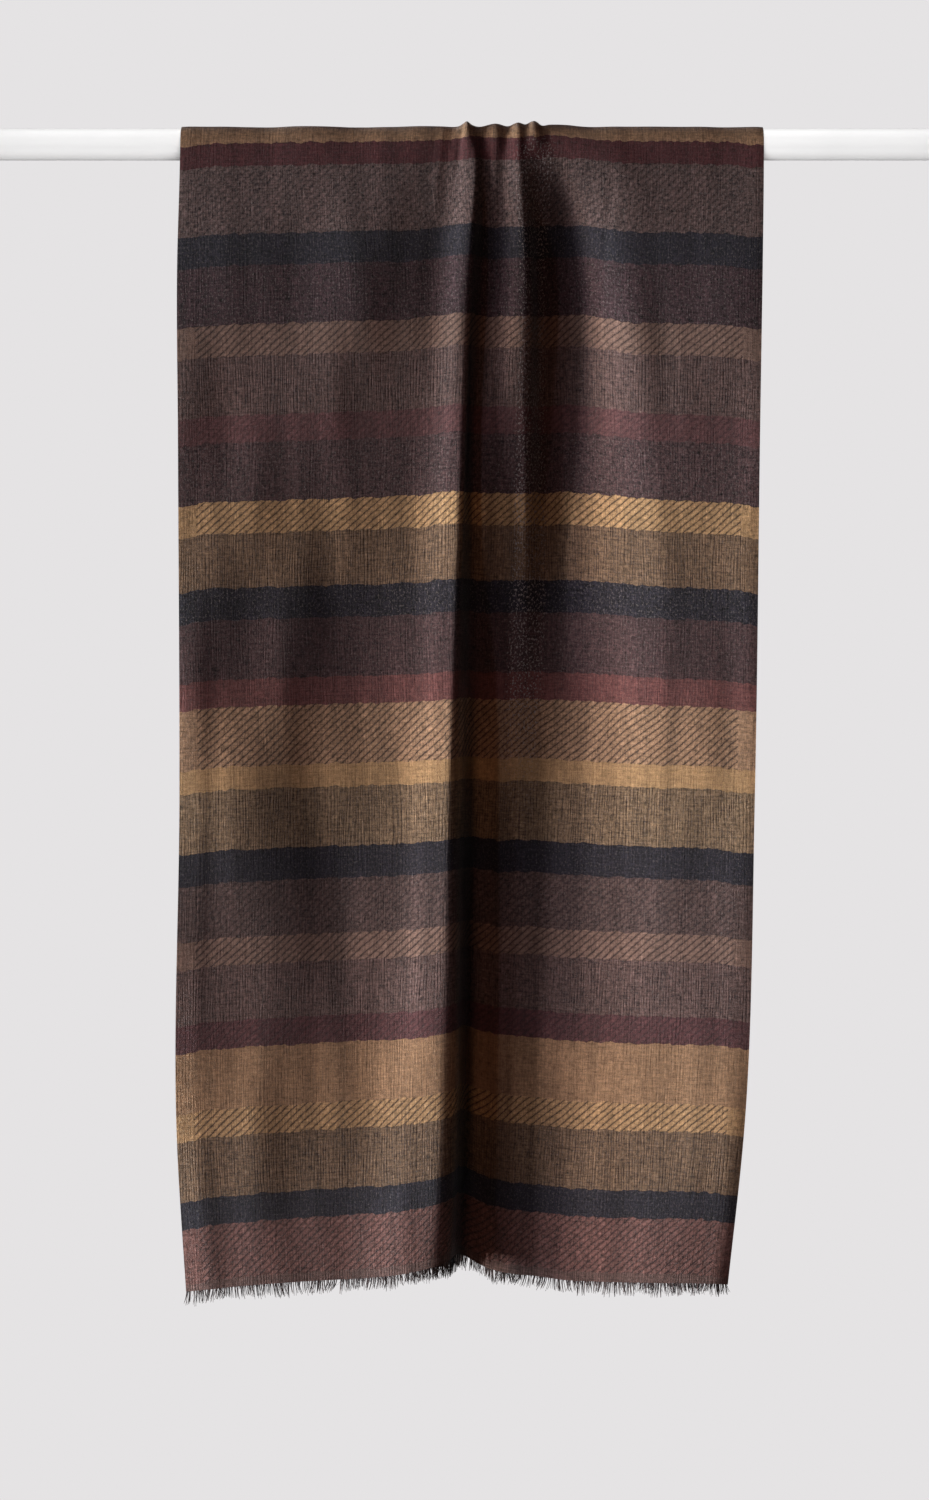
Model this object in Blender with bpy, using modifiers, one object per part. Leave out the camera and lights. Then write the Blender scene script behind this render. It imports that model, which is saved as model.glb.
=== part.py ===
# A striped woven muffler folded in half over a horizontal rod.
#
# The rod lies along X with its axis through the origin, the front fall faces -Y and
# the cloth hangs down -Z. Sizes are in millimetres until a mesh is written in metres.
# The cloth is one sheet. It is worked out as threads across it (lines of equal length
# from the crown of the rod) that run through the crests and troughs of its folds.

import math
import random

import bmesh
import bpy
import numpy as np

MM = 0.001
COLLECTION = "muffler_on_rod"

# Rod
ROD_DIAMETER = 27.0
ROD_LENGTH = 900.0
ROD_SIDES = 48
ROD_EDGE_ROUND = 1.5

# Cloth
CLOTH_THICKNESS = 1.2
CLOTH_CLEARANCE = 0.6        # cloth's inner face to the rod
SEAM_GAP = 0.3               # between two stretches of the cloth
TURN_DROP = 12.0             # how far the stretch over the rod comes down each side
FALL_DROP = 974.5            # rod axis to the lower edge of the cloth, at its sides
TURN_ROWS = 18
CREASE_ANGLE = 60.0          # edges sharper than this are not shaded smooth

# Hem strip and fringe
STRIP_DEPTH = 4.5
LOCK_COUNT = 62
LOCK_WIDTH = 3.4
LOCK_TIP_SHARE = 0.4
LOCK_LENGTH = 8.6
LOCK_LENGTH_SPREAD = 2.6
LOCK_LEAN = 1.3
LOCK_SEED = 11
RIM_FACES_DOWN = -0.8        # a face of the lower rim points down at least this much

TURN_RADIUS = ROD_DIAMETER / 2 + CLOTH_CLEARANCE + CLOTH_THICKNESS / 2
QUARTER = TURN_RADIUS * math.pi / 2
ARC_SAMPLES = 900

# The levels at which the folds are given: drop below the rod's axis.
NECK_DROP = 22.0
COLLAR_DROP = 100.0
UPPER_DROP = 250.0
MIDDLE_DROP = 560.0
LOW_DROP = 850.0
HEM_DROP = 985.0
LIFT_SHARE_AT_AXIS = 0.75

# Distances below the axis of the rows of the mesh on each fall.
FALL_ROWS = (24, 40, 60, 80, 104, 134, 170, 210, 252, 304, 362, 424, 490,
             560, 634, 708, 780, 850, 914)

# A row for each crest or trough, from the left edge to the right one.
#   cuts      columns of the mesh from here to the next fold
#   across    distance to the right of the rod's middle, at each level
#   out       how far the cloth stands out from its plain way over the rod
FRONT_COLUMNS = ("fold", "cuts",
                 "across_rod", "across_neck", "across_collar", "across_upper",
                 "across_middle", "across_low", "across_hem",
                 "out_rod", "out_neck", "out_collar", "out_upper",
                 "out_middle", "out_low", "out_hem")
FRONT_FOLDS = (
    ("left_edge", 3,
     -249.5, -250.0, -251.0, -249.0, -246.5, -249.0, -241.5,
     0.3, 3.4, 15.0, 28.5, 40.0, 36.5, 30.0),
    ("left_panel", 3,
     -149.0, -149.0, -155.5, -159.0, -167.0, -178.0, -188.0,
     0.3, 2.9, 9.9, 19.0, 29.0, 29.5, 28.0),
    ("left_turn", 2,
     -62.0, -65.5, -80.5, -104.0, -121.0, -131.0, -146.0,
     0.3, 2.4, 7.5, 13.5, 20.0, 23.6, 25.0),
    ("left_trough", 2,
     -28.0, -34.5, -50.0, -65.0, -82.0, -94.0, -108.0,
     0.6, 0.9, 4.2, 8.3, 15.6, 19.2, 22.0),
    ("left_rise", 2,
     -11.5, -13.5, -25.5, -34.5, -56.5, -72.5, -82.5,
     1.2, 1.0, 1.7, 6.2, 14.0, 18.8, 21.5),
    ("left_crest", 2,
     -5.0, -4.0, -6.0, -15.5, -31.0, -44.5, -55.5,
     5.5, 4.0, 5.4, 8.4, 15.0, 19.6, 22.0),
    ("flap_edge", 2,
     -0.5, 2.5, -0.5, -6.5, -16.5, -21.0, -29.0,
     2.5, 4.7, 4.2, 7.2, 14.0, 17.2, 19.5),
    ("flap_fold", 2,
     3.0, 6.0, 4.0, -3.5, -11.0, -14.5, -20.5,
     1.2, 3.0, -3.0, 0.0, 7.0, 10.0, 13.0),
    ("wall_foot", 2,
     7.0, 10.5, 9.0, 3.0, -5.5, -11.0, -15.0,
     0.9, 0.9, -8.0, -8.0, -9.0, -8.0, -6.0),
    ("small_pleat", 2,
     20.0, 19.0, 18.5, 12.5, 2.0, -4.0, -7.5,
     3.3, 2.6, -4.2, -1.0, -23.0, -24.0, -24.0),
    ("small_dip", 2,
     30.5, 27.0, 22.5, 21.0, 13.5, 8.0, 5.0,
     0.9, 2.0, -2.6, -0.3, -24.0, -27.0, -28.0),
    ("centre_pleat", 2,
     39.0, 39.0, 42.0, 40.5, 26.0, 22.0, 18.5,
     3.9, 5.0, 0.8, -0.6, -17.0, -18.0, -20.0),
    ("centre_dip", 2,
     45.5, 44.0, 48.5, 47.5, 41.0, 37.5, 34.0,
     2.2, 4.0, -1.2, -2.5, -12.0, -9.0, -10.0),
    ("knife_pleat", 2,
     53.0, 54.0, 56.5, 59.0, 60.5, 59.5, 57.5,
     5.2, 2.0, -14.0, -16.0, -10.0, -4.0, -4.0),
    ("deep_crease", 2,
     59.5, 68.5, 72.0, 74.5, 78.5, 77.5, 76.5,
     1.2, 0.9, -19.0, -20.0, -8.5, -2.0, -1.5),
    ("crease_wall", 2,
     66.0, 77.0, 78.5, 82.5, 98.0, 98.0, 98.5,
     2.0, 1.2, -17.0, -16.0, -7.6, -1.0, 0.5),
    ("right_flank", 2,
     80.0, 95.0, 99.0, 106.0, 121.5, 122.5, 124.0,
     2.2, 2.0, -8.6, -9.6, -5.8, -0.3, 1.5),
    ("right_crest", 2,
     95.0, 126.0, 128.0, 148.5, 156.5, 156.0, 156.0,
     0.9, 3.6, -0.8, -2.6, -3.6, 0.6, 2.5),
    ("right_panel", 3,
     143.0, 160.0, 162.0, 179.5, 190.5, 192.5, 191.5,
     0.5, 1.5, -1.8, -4.0, -4.6, 0.8, 2.5),
    ("right_side", 2,
     199.5, 204.5, 206.5, 215.5, 218.0, 215.0, 206.0,
     0.3, 0.4, -2.6, -5.8, -5.4, 0.3, 1.5),
    ("right_edge", 0,
     249.0, 249.0, 248.5, 246.5, 242.0, 232.0, 217.5,
     0.3, 0.2, -3.0, -6.8, -6.4, -1.0, -1.0),
)

# The same folds on the back fall, and how they are drawn up on both falls.
#   out       as on the front fall, but away from the rod's back
#   lift      how much higher than the cloth's sides, as the way over the rod is longer
BACK_COLUMNS = ("fold", "out_neck", "out_middle", "out_hem",
                "lift_neck", "lift_middle", "lift_hem")
BACK_FOLDS = (
    ("left_edge",       0.4, 3.0, 4.0, -2.5, 0.0, 0.0),
    ("left_panel",      0.3, 0.0, 5.0, -0.5, 3.0, 5.0),
    ("left_turn",       0.5, -3.0, -2.0, 1.0, 4.5, 7.5),
    ("left_trough",     1.5, -2.0, -3.0, 2.0, 5.5, 9.0),
    ("left_rise",       4.0, 8.0, 4.0, 4.0, 6.0, 10.5),
    ("left_crest",      11.0, 20.0, 20.0, 5.0, 7.5, 14.0),
    ("flap_edge",       8.0, 26.0, 32.0, 5.0, 9.5, 20.5),
    ("flap_fold",       5.0, 27.0, 38.0, 5.0, 10.5, 23.5),
    ("wall_foot",       2.5, 27.0, 42.0, 5.0, 11.0, 25.0),
    ("small_pleat",     4.0, 25.0, 44.0, 4.0, 10.0, 21.0),
    ("small_dip",       5.0, 20.0, 40.0, 4.0, 9.0, 13.0),
    ("centre_pleat",    9.0, 17.0, 34.0, 4.0, 8.5, 9.0),
    ("centre_dip",      8.5, 17.0, 28.0, 4.0, 9.0, 7.5),
    ("knife_pleat",     7.0, 20.0, 24.0, 5.0, 8.0, 6.5),
    ("deep_crease",     1.5, 24.0, 26.0, 6.5, 7.0, 4.0),
    ("crease_wall",     3.0, 25.0, 32.0, 6.5, 6.0, 3.0),
    ("right_flank",     12.0, 18.0, 34.0, 5.0, 5.0, 2.5),
    ("right_crest",     7.0, 3.0, 14.0, 1.5, 3.0, 2.0),
    ("right_panel",     2.0, -4.0, -1.0, 1.0, 2.0, 1.5),
    ("right_side",      0.5, 0.0, -3.0, 0.5, 1.0, 1.0),
    ("right_edge",      0.0, 5.0, 4.0, 0.0, 0.0, 0.0),
)

# Colours, roughness
ROD_PAINT = ((0.86, 0.86, 0.86), 0.35)
CLOTH_TURN_COLOUR = ((0.24, 0.16, 0.09), 0.85)
CLOTH_FALL_COLOUR = ((0.12, 0.08, 0.07), 0.85)
FRINGE_COLOUR = ((0.05, 0.045, 0.045), 0.9)


def column(table, columns, name):
    return np.array([row[columns.index(name)] for row in table], dtype=float)


def front(name):
    return column(FRONT_FOLDS, FRONT_COLUMNS, name)


def back(name):
    return column(BACK_FOLDS, BACK_COLUMNS, name)


def along(drop):
    """Length of cloth from the rod's crown down to a drop below the axis."""
    return QUARTER + drop


def curve_through(knots, values, at):
    """A smooth curve through the values at the knots (cubic, tangents from the neighbours)."""
    knots = np.asarray(knots, dtype=float)
    values = np.asarray(values, dtype=float)
    slopes = np.gradient(values, knots, axis=0)
    at = np.clip(np.atleast_1d(np.asarray(at, dtype=float)), knots[0], knots[-1])
    left = np.clip(np.searchsorted(knots, at, side="right") - 1, 0, len(knots) - 2)
    width = knots[left + 1] - knots[left]
    share = (at - knots[left]) / width
    shape = (-1,) + (1,) * (values.ndim - 1)
    share = share.reshape(shape)
    width = width.reshape(shape)
    start, end = values[left], values[left + 1]
    rise_start, rise_end = slopes[left] * width, slopes[left + 1] * width
    return (start * (1 + 2 * share) * (1 - share) ** 2
            + rise_start * share * (1 - share) ** 2
            + end * share ** 2 * (3 - 2 * share)
            + rise_end * share ** 2 * (share - 1))


def fold_levels():
    """The folds' places at each level, from the back hem over the crown to the front hem."""
    levels = (-along(HEM_DROP), -along(MIDDLE_DROP), -along(NECK_DROP), 0.0,
              along(NECK_DROP), along(COLLAR_DROP), along(UPPER_DROP),
              along(MIDDLE_DROP), along(LOW_DROP), along(HEM_DROP))
    neck, middle, hem = front("across_neck"), front("across_middle"), front("across_hem")

    def spread_to(edges):
        """The neck's spacing, stretched to reach the same side edges as the front."""
        left = neck - neck[0]
        return edges[0] + left * (edges[-1] - edges[0]) / left[-1]

    across = (spread_to(hem), spread_to(middle), neck, front("across_rod"),
              neck, front("across_collar"), front("across_upper"),
              middle, front("across_low"), hem)
    out = (back("out_hem"), back("out_middle"), back("out_neck"), front("out_rod"),
           front("out_neck"), front("out_collar"), front("out_upper"),
           front("out_middle"), front("out_low"), front("out_hem"))
    return levels, np.array(across), np.array(out)


def lift_levels():
    """How far each fold is drawn up, from the back hem over the crown to the front hem."""
    down = (along(0.0), along(NECK_DROP), along(MIDDLE_DROP), along(HEM_DROP))
    at_axis = LIFT_SHARE_AT_AXIS * back("lift_neck")
    lift = (at_axis, back("lift_neck"), back("lift_middle"), back("lift_hem"))
    levels = [-length for length in reversed(down)] + [0.0] + list(down)
    crown = np.zeros(len(BACK_FOLDS))
    return levels, np.array(lift[::-1] + (crown,) + lift)


FOLD_LEVELS, ACROSS, OUT = fold_levels()
LIFT_LEVELS, LIFT = lift_levels()


def section(length):
    """Fold knots of one thread: spline parameter, and (across, out, lift) at each fold."""
    places = np.stack([curve_through(FOLD_LEVELS, ACROSS, length)[0],
                       curve_through(FOLD_LEVELS, OUT, length)[0],
                       curve_through(LIFT_LEVELS, LIFT, length)[0]], axis=1)
    steps = np.hypot(np.diff(places[:, 0]), np.diff(places[:, 1])) ** 0.5
    return np.concatenate(([0.0], np.cumsum(steps))), places


def fold_parameters(knots):
    """Where the mesh's columns cut a thread: each stretch between folds in equal cuts."""
    cuts = front("cuts").astype(int)[:-1]
    stretches = [np.linspace(knots[i], knots[i + 1], n, endpoint=False) for i, n in enumerate(cuts)]
    return np.concatenate(stretches + [knots[-1:]])


def in_space(length, places):
    """Points in space of (across, out, lift) places on the thread at this length."""
    side = 1.0 if length >= 0 else -1.0
    reached = np.maximum(abs(length) - places[:, 2], 0.0)
    angle = np.minimum(reached / TURN_RADIUS, math.pi / 2)
    fall = np.maximum(reached - QUARTER, 0.0)
    radius = TURN_RADIUS + places[:, 1]
    return np.stack([places[:, 0],
                     -side * radius * np.sin(angle),
                     radius * np.cos(angle) - fall], axis=1)


def thread_by_folds(length):
    knots, places = section(length)
    return in_space(length, curve_through(knots, places, fold_parameters(knots)))


def thread_by_width(length, shares):
    """Points at shares of the cloth's width, measured along the thread."""
    knots, places = section(length)
    fine = curve_through(knots, places, np.linspace(knots[0], knots[-1], ARC_SAMPLES))
    run = np.concatenate(([0.0], np.cumsum(np.hypot(np.diff(fine[:, 0]), np.diff(fine[:, 1])))))
    at = np.asarray(shares) * run[-1]
    picked = np.stack([np.interp(at, run, fine[:, i]) for i in range(3)], axis=1)
    return in_space(length, picked)


def make_material(name, look):
    colour, roughness = look
    material = bpy.data.materials.new(name)
    material.use_nodes = True
    shader = material.node_tree.nodes["Principled BSDF"]
    shader.inputs["Base Color"].default_value = (*colour, 1.0)
    shader.inputs["Roughness"].default_value = roughness
    shader.inputs["Metallic"].default_value = 0.0
    material.diffuse_color = (*colour, 1.0)
    return material


def make_collection():
    for leftover in list(bpy.data.objects):
        bpy.data.objects.remove(leftover, do_unlink=True)
    collection = bpy.data.collections.new(COLLECTION)
    bpy.context.scene.collection.children.link(collection)
    return collection


def add_object(collection, name, mesh, material):
    mesh.materials.append(material)
    piece = bpy.data.objects.new(name, mesh)
    collection.objects.link(piece)
    return piece


def grid_mesh(name, threads):
    """An open sheet through threads of points, its faces away from the rod."""
    count = len(threads[0])
    points = np.concatenate(threads) * MM
    faces = []
    for row in range(len(threads) - 1):
        for col in range(count - 1):
            corner = row * count + col
            faces.append((corner, corner + count, corner + count + 1, corner + 1))
    mesh = bpy.data.meshes.new(name)
    mesh.from_pydata(points.tolist(), [], faces)
    mesh.shade_smooth()
    return mesh


def make_rod(collection):
    mesh = bpy.data.meshes.new("rod")
    shape = bmesh.new()
    bmesh.ops.create_cone(shape, cap_ends=True, segments=ROD_SIDES,
                          radius1=ROD_DIAMETER / 2 * MM, radius2=ROD_DIAMETER / 2 * MM,
                          depth=ROD_LENGTH * MM)
    shape.to_mesh(mesh)
    shape.free()
    mesh.shade_smooth()
    rod = add_object(collection, "rod", mesh, make_material("rod_paint", ROD_PAINT))
    rod.rotation_euler = (0.0, math.pi / 2, 0.0)
    edge = rod.modifiers.new("rounded ends", "BEVEL")
    edge.width = ROD_EDGE_ROUND * MM
    edge.segments = 2
    edge.limit_method = "ANGLE"
    return rod


def add_sheet(collection, name, threads, look):
    """A thin wall through threads of points, its edges crisp and its faces smooth."""
    piece = add_object(collection, name, grid_mesh(name, threads), make_material(name, look))
    wall = piece.modifiers.new("cloth wall", "SOLIDIFY")
    wall.thickness = CLOTH_THICKNESS * MM
    wall.offset = 0.0
    wall.use_even_offset = True
    bpy.context.view_layer.update()
    solid = bpy.data.meshes.new_from_object(piece.evaluated_get(bpy.context.evaluated_depsgraph_get()))
    solid.set_sharp_from_angle(angle=math.radians(CREASE_ANGLE))
    piece.modifiers.clear()
    piece.data = solid
    return piece


def make_cloth(collection, name, lengths, look):
    """One stretch of the cloth."""
    threads = [thread_by_folds(length) for length in lengths]
    return add_sheet(collection, name, threads, look)


def turn_lengths():
    """Threads over the rod, from the back to the front."""
    reach = along(TURN_DROP)
    return np.linspace(-reach, reach, TURN_ROWS + 1)


def fall_lengths():
    """Threads down a fall, from just below the turn to just above the hem strip."""
    return [along(TURN_DROP) + SEAM_GAP] + [along(drop) for drop in FALL_ROWS] + [along(FALL_DROP)]


def cloth_width():
    """Width of the cloth along its middle thread on the front fall."""
    points = thread_by_width(along(MIDDLE_DROP), np.linspace(0.0, 1.0, ARC_SAMPLES))
    return float(np.sum(np.linalg.norm(np.diff(points[:, :2], axis=0), axis=1)))


def strip_shares():
    """The strip's columns as shares of the cloth's width: its ends and each lock's two sides."""
    half = 0.5 * LOCK_WIDTH / cloth_width()
    middles = (np.arange(LOCK_COUNT) + 0.5) / LOCK_COUNT
    sides = np.stack([middles - half, middles + half], axis=1).ravel()
    return np.concatenate(([0.0], sides, [1.0]))


def make_fringe(collection, name, side):
    """A narrow hem strip below a fall, with the locks of the fringe grown from its lower rim."""
    top = along(FALL_DROP) + SEAM_GAP
    bottom = top + STRIP_DEPTH
    order = (top, bottom) if side > 0 else (bottom, top)
    threads = [thread_by_width(side * length, strip_shares()) for length in order]
    strip = add_sheet(collection, name, threads, FRINGE_COLOUR)
    grow_locks(strip.data)
    return strip


def grow_locks(mesh):
    """Pull each lock down out of its face on the strip's lower rim, and taper it."""
    shape = bmesh.new()
    shape.from_mesh(mesh)
    shape.normal_update()
    rim = [face for face in shape.faces if face.normal.z < RIM_FACES_DOWN]
    rim.sort(key=lambda face: face.calc_center_median().x)
    roots = order_along_rim(rim)[1::2]
    chance = random.Random(LOCK_SEED)
    for root in roots:
        length = LOCK_LENGTH + LOCK_LENGTH_SPREAD * (2 * chance.random() - 1)
        lean = LOCK_LEAN * (2 * chance.random() - 1)
        grown = bmesh.ops.extrude_discrete_faces(shape, faces=[root])["faces"][0]
        middle = grown.calc_center_median()
        for corner in grown.verts:
            corner.co = middle + (corner.co - middle) * LOCK_TIP_SHARE
            corner.co.x += lean * MM
            corner.co.z -= length * MM
    bmesh.ops.recalc_face_normals(shape, faces=shape.faces)
    shape.to_mesh(mesh)
    shape.free()


def order_along_rim(rim):
    """The rim's faces one after another, walked from the left end through shared edges."""
    left = set(rim)
    face = rim[0]
    ordered = []
    while face is not None:
        ordered.append(face)
        left.discard(face)
        following = [near for edge in face.edges for near in edge.link_faces if near in left]
        face = following[0] if following else None
    return ordered


def main():
    collection = make_collection()
    make_rod(collection)
    make_cloth(collection, "cloth_turn", turn_lengths(), CLOTH_TURN_COLOUR)
    make_cloth(collection, "cloth_front", fall_lengths(), CLOTH_FALL_COLOUR)
    make_cloth(collection, "cloth_back", [-length for length in reversed(fall_lengths())],
               CLOTH_FALL_COLOUR)
    make_fringe(collection, "fringe_front", 1.0)
    make_fringe(collection, "fringe_back", -1.0)


main()
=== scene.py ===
import math
import random

import bpy
import numpy as np
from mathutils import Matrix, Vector


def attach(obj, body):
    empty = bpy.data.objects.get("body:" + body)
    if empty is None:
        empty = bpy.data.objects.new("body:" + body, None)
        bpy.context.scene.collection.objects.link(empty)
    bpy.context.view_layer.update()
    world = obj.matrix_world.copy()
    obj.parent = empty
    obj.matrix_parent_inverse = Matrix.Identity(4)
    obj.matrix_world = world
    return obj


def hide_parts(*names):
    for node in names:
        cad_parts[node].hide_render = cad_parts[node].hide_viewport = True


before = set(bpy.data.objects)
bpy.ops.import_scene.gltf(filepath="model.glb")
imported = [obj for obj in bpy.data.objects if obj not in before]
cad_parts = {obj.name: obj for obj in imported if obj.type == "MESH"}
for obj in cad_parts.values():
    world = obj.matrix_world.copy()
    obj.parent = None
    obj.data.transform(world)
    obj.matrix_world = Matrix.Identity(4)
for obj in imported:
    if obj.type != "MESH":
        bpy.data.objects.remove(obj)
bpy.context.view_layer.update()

# Sizes of the cloth and its drape are in millimetres, everything in Blender is in metres.
mm = 0.001


# Helpers for picking and blending.
def deselectAll():
    if bpy.context.object and bpy.context.object.mode != "OBJECT":
        bpy.ops.object.mode_set(mode="OBJECT")
    bpy.ops.object.select_all(action="DESELECT")


def pick(thing):
    deselectAll()
    thing.select_set(True)
    bpy.context.view_layer.objects.active = thing


def smoothStep(low, high, values):
    share = np.clip((values - low) / (high - low), 0, 1)
    return share * share * (3 - 2 * share)


# Camera.
cameraSet = {"place": (-0.0069, -2.4, -0.5207), "lens": 66.98, "sensor": 36.0}
bpy.ops.object.camera_add(location=cameraSet["place"], rotation=(math.pi / 2, 0, 0))
camera = bpy.context.object
camera.name = "camera"
camera.data.sensor_fit = "VERTICAL"
camera.data.sensor_height = cameraSet["sensor"]
camera.data.lens = cameraSet["lens"]
bpy.context.scene.camera = camera
print("camera placed")


# How the cloth hangs.
drape = {
    "turnRadius": 14.1,          # middle of the cloth over the rod
    # drops below the rod's axis
    "levels": {"neck": 22, "collar": 100, "upper": 250, "middle": 560, "low": 850, "hem": 985},
    "liftAtAxis": 0.75,          # share of the neck's lift that is there already at the axis
    "stepsOfThread": 1201,
    # each fold: across at rod, neck, collar, upper, middle, low and hem,
    # and on the second line how far it stands out there
    "front": {
        "leftEdge": (-249.5, -250, -251, -249, -246.5, -249, -241.5,
                     0.3, 3.4, 15, 28.5, 40, 36.5, 30),
        "leftPanel": (-149, -149, -155.5, -159, -167, -178, -188,
                      0.3, 2.9, 9.9, 19, 29, 29.5, 28),
        "leftTurn": (-62, -65.5, -80.5, -104, -121, -131, -146,
                     0.3, 2.4, 7.5, 13.5, 20, 23.6, 25),
        "leftTrough": (-28, -34.5, -50, -65, -82, -94, -108,
                       0.6, 0.9, 4.2, 8.3, 15.6, 19.2, 22),
        "leftRise": (-11.5, -13.5, -25.5, -34.5, -56.5, -72.5, -82.5,
                     1.2, 1, 1.7, 6.2, 14, 18.8, 21.5),
        "leftCrest": (-5, -4, -6, -15.5, -31, -44.5, -55.5,
                      5.5, 4, 5.4, 8.4, 15, 19.6, 22),
        "flapEdge": (-0.5, 2.5, -0.5, -6.5, -16.5, -21, -29,
                     2.5, 4.7, 4.2, 7.2, 14, 17.2, 19.5),
        "flapFold": (3, 6, 4, -3.5, -11, -14.5, -20.5,
                     1.2, 3, -3, 0, 7, 10, 13),
        "wallFoot": (7, 10.5, 9, 3, -5.5, -11, -15,
                     0.9, 0.9, -8, -8, -9, -8, -6),
        "smallPleat": (20, 19, 18.5, 12.5, 2, -4, -7.5,
                       3.3, 2.6, -4.2, -1, -23, -24, -24),
        "smallDip": (30.5, 27, 22.5, 21, 13.5, 8, 5,
                     0.9, 2, -2.6, -0.3, -24, -27, -28),
        "centrePleat": (39, 39, 42, 40.5, 26, 22, 18.5,
                        3.9, 5, 0.8, -0.6, -17, -18, -20),
        "centreDip": (45.5, 44, 48.5, 47.5, 41, 37.5, 34,
                      2.2, 4, -1.2, -2.5, -12, -9, -10),
        "knifePleat": (53, 54, 56.5, 59, 60.5, 59.5, 57.5,
                       5.2, 2, -14, -16, -10, -4, -4),
        "deepCrease": (59.5, 68.5, 72, 74.5, 78.5, 77.5, 76.5,
                       1.2, 0.9, -19, -20, -8.5, -2, -1.5),
        "creaseWall": (66, 77, 78.5, 82.5, 98, 98, 98.5,
                       2, 1.2, -17, -16, -7.6, -1, 0.5),
        "rightFlank": (80, 95, 99, 106, 121.5, 122.5, 124,
                       2.2, 2, -8.6, -9.6, -5.8, -0.3, 1.5),
        "rightCrest": (95, 126, 128, 148.5, 156.5, 156, 156,
                       0.9, 3.6, -0.8, -2.6, -3.6, 0.6, 2.5),
        "rightPanel": (143, 160, 162, 179.5, 190.5, 192.5, 191.5,
                       0.5, 1.5, -1.8, -4, -4.6, 0.8, 2.5),
        "rightSide": (199.5, 204.5, 206.5, 215.5, 218, 215, 206,
                      0.3, 0.4, -2.6, -5.8, -5.4, 0.3, 1.5),
        "rightEdge": (249, 249, 248.5, 246.5, 242, 232, 217.5,
                      0.3, 0.2, -3, -6.8, -6.4, -1, -1),
    },
    # the same folds behind: out at neck, middle, hem, then how far the cloth is drawn up there
    "back": {
        "leftEdge": (0.4, 3, 4, -2.5, 0, 0),
        "leftPanel": (0.3, 0, 5, -0.5, 3, 5),
        "leftTurn": (0.5, -3, -2, 1, 4.5, 7.5),
        "leftTrough": (1.5, -2, -3, 2, 5.5, 9),
        "leftRise": (4, 8, 4, 4, 6, 10.5),
        "leftCrest": (11, 20, 20, 5, 7.5, 14),
        "flapEdge": (8, 26, 32, 5, 9.5, 20.5),
        "flapFold": (5, 27, 38, 5, 10.5, 23.5),
        "wallFoot": (2.5, 27, 42, 5, 11, 25),
        "smallPleat": (4, 25, 44, 4, 10, 21),
        "smallDip": (5, 20, 40, 4, 9, 13),
        "centrePleat": (9, 17, 34, 4, 8.5, 9),
        "centreDip": (8.5, 17, 28, 4, 9, 7.5),
        "knifePleat": (7, 20, 24, 5, 8, 6.5),
        "deepCrease": (1.5, 24, 26, 6.5, 7, 4),
        "creaseWall": (3, 25, 32, 6.5, 6, 3),
        "rightFlank": (12, 18, 34, 5, 5, 2.5),
        "rightCrest": (7, 3, 14, 1.5, 3, 2),
        "rightPanel": (2, -4, -1, 1, 2, 1.5),
        "rightSide": (0.5, 0, -3, 0.5, 1, 1),
        "rightEdge": (0, 5, 4, 0, 0, 0),
    },
}
quarterTurn = drape["turnRadius"] * math.pi / 2


def alongCloth(drop):              # from the crown of the rod down to a drop below its axis
    return quarterTurn + drop


def curveThrough(knots, values, at):   # smooth curve, tangents from the neighbours
    knots = np.asarray(knots, float)
    values = np.asarray(values, float)
    slopes = np.gradient(values, knots, axis=0)
    at = np.clip(np.atleast_1d(np.asarray(at, float)), knots[0], knots[-1])
    left = np.clip(np.searchsorted(knots, at, side="right") - 1, 0, len(knots) - 2)
    shape = (-1,) + (1,) * (values.ndim - 1)
    width = (knots[left + 1] - knots[left]).reshape(shape)
    share = (at - knots[left]).reshape(shape) / width
    rest = 1 - share
    return (values[left] * (1 + 2 * share) * rest ** 2
            + slopes[left] * width * share * rest ** 2
            + values[left + 1] * share ** 2 * (3 - 2 * share)
            - slopes[left + 1] * width * share ** 2 * rest)


frontTable = np.array(list(drape["front"].values()), float).T
backTable = np.array(list(drape["back"].values()), float).T
(rodAcross, neckAcross, collarAcross, upperAcross,
 middleAcross, lowAcross, hemAcross) = frontTable[:7]


def spreadTo(edges):               # the neck's spacing behind, out to the front's side edges
    left = neckAcross - neckAcross[0]
    return edges[0] + left * (edges[-1] - edges[0]) / left[-1]


levelDrops = drape["levels"]
foldLevels = ([-alongCloth(levelDrops[name]) for name in ("hem", "middle", "neck")] + [0.0]
              + [alongCloth(drop) for drop in levelDrops.values()])
foldAcross = np.array([spreadTo(hemAcross), spreadTo(middleAcross), neckAcross, rodAcross,
                       neckAcross, collarAcross, upperAcross, middleAcross, lowAcross, hemAcross])
foldOut = np.array([backTable[2], backTable[1], backTable[0], *frontTable[7:14]])
liftDown = [alongCloth(0)] + [alongCloth(levelDrops[name]) for name in ("neck", "middle", "hem")]
liftLevels = [-level for level in reversed(liftDown)] + [0.0] + liftDown
liftRows = [drape["liftAtAxis"] * backTable[3], backTable[3], backTable[4], backTable[5]]
foldLift = np.array(liftRows[::-1] + [0 * backTable[3]] + liftRows)


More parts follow.
